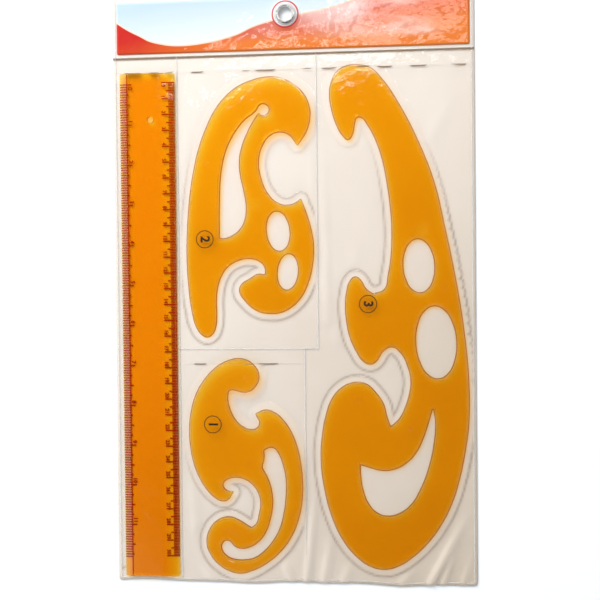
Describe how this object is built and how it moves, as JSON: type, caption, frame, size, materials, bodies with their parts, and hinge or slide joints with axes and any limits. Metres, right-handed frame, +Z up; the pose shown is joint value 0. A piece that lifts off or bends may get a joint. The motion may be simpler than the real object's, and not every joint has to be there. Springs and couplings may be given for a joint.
{
  "type": "french curve set",
  "caption": "French curves and a ruler in clear amber plastic, held in a flat vinyl wallet with clear slide-in pockets, a printed header card and a metal eyelet to hang it by.",
  "frame": {"origin": "centre of the wallet's underside, on the surface it lies on", "axes": "+Y along the wallet towards the header and eyelet, +X to the right with the clear front up and the header away, +Z up out of the clear front"},
  "size_m": [0.2272, 0.3692, 0.0052],
  "materials": {
    "back_pvc": "off-white soft vinyl sheet, satin",
    "clear_film": "clear soft vinyl film, glossy",
    "amber_plastic": "moulded transparent amber plastic, glossy",
    "amber_ruler": "moulded transparent amber plastic, glossy, with a dark printed scale",
    "printed_card": "coated card printed with a pale blue field and a red to orange wave",
    "nickel_plate": "bright nickel plate"
  },
  "bodies": {
    "wallet": {"back_sheet": "back_pvc", "header_card": "printed_card", "header_film": "clear_film", "eyelet": "nickel_plate", "upper_lip_strip": "clear_film", "lower_lip_strip": "clear_film", "ruler_pocket_film": "clear_film", "medium_curve_pocket_film": "clear_film", "small_curve_pocket_film": "clear_film", "large_curve_pocket_film": "clear_film"},
    "ruler": {"ruler": "amber_ruler"},
    "large_curve": {"large_french_curve": "amber_plastic"},
    "medium_curve": {"medium_french_curve": "amber_plastic"},
    "small_curve": {"small_french_curve": "amber_plastic"}
  },
  "joints": [
    {"name": "ruler_slide", "type": "slide", "parent": "wallet", "child": "ruler", "axis": [0, 1, 0.0033], "range_m": [0, 0.368]},
    {"name": "large_curve_slide", "type": "slide", "parent": "wallet", "child": "large_curve", "axis": [0, 1, 0.0034], "range_m": [0, 0.362]},
    {"name": "medium_curve_slide", "type": "slide", "parent": "wallet", "child": "medium_curve", "axis": [0, 0.9999, 0.0138], "range_m": [0, 0.216]},
    {"name": "small_curve_slide", "type": "slide", "parent": "wallet", "child": "small_curve", "axis": [0, 0.9998, 0.0174], "range_m": [0, 0.366]}
  ]
}
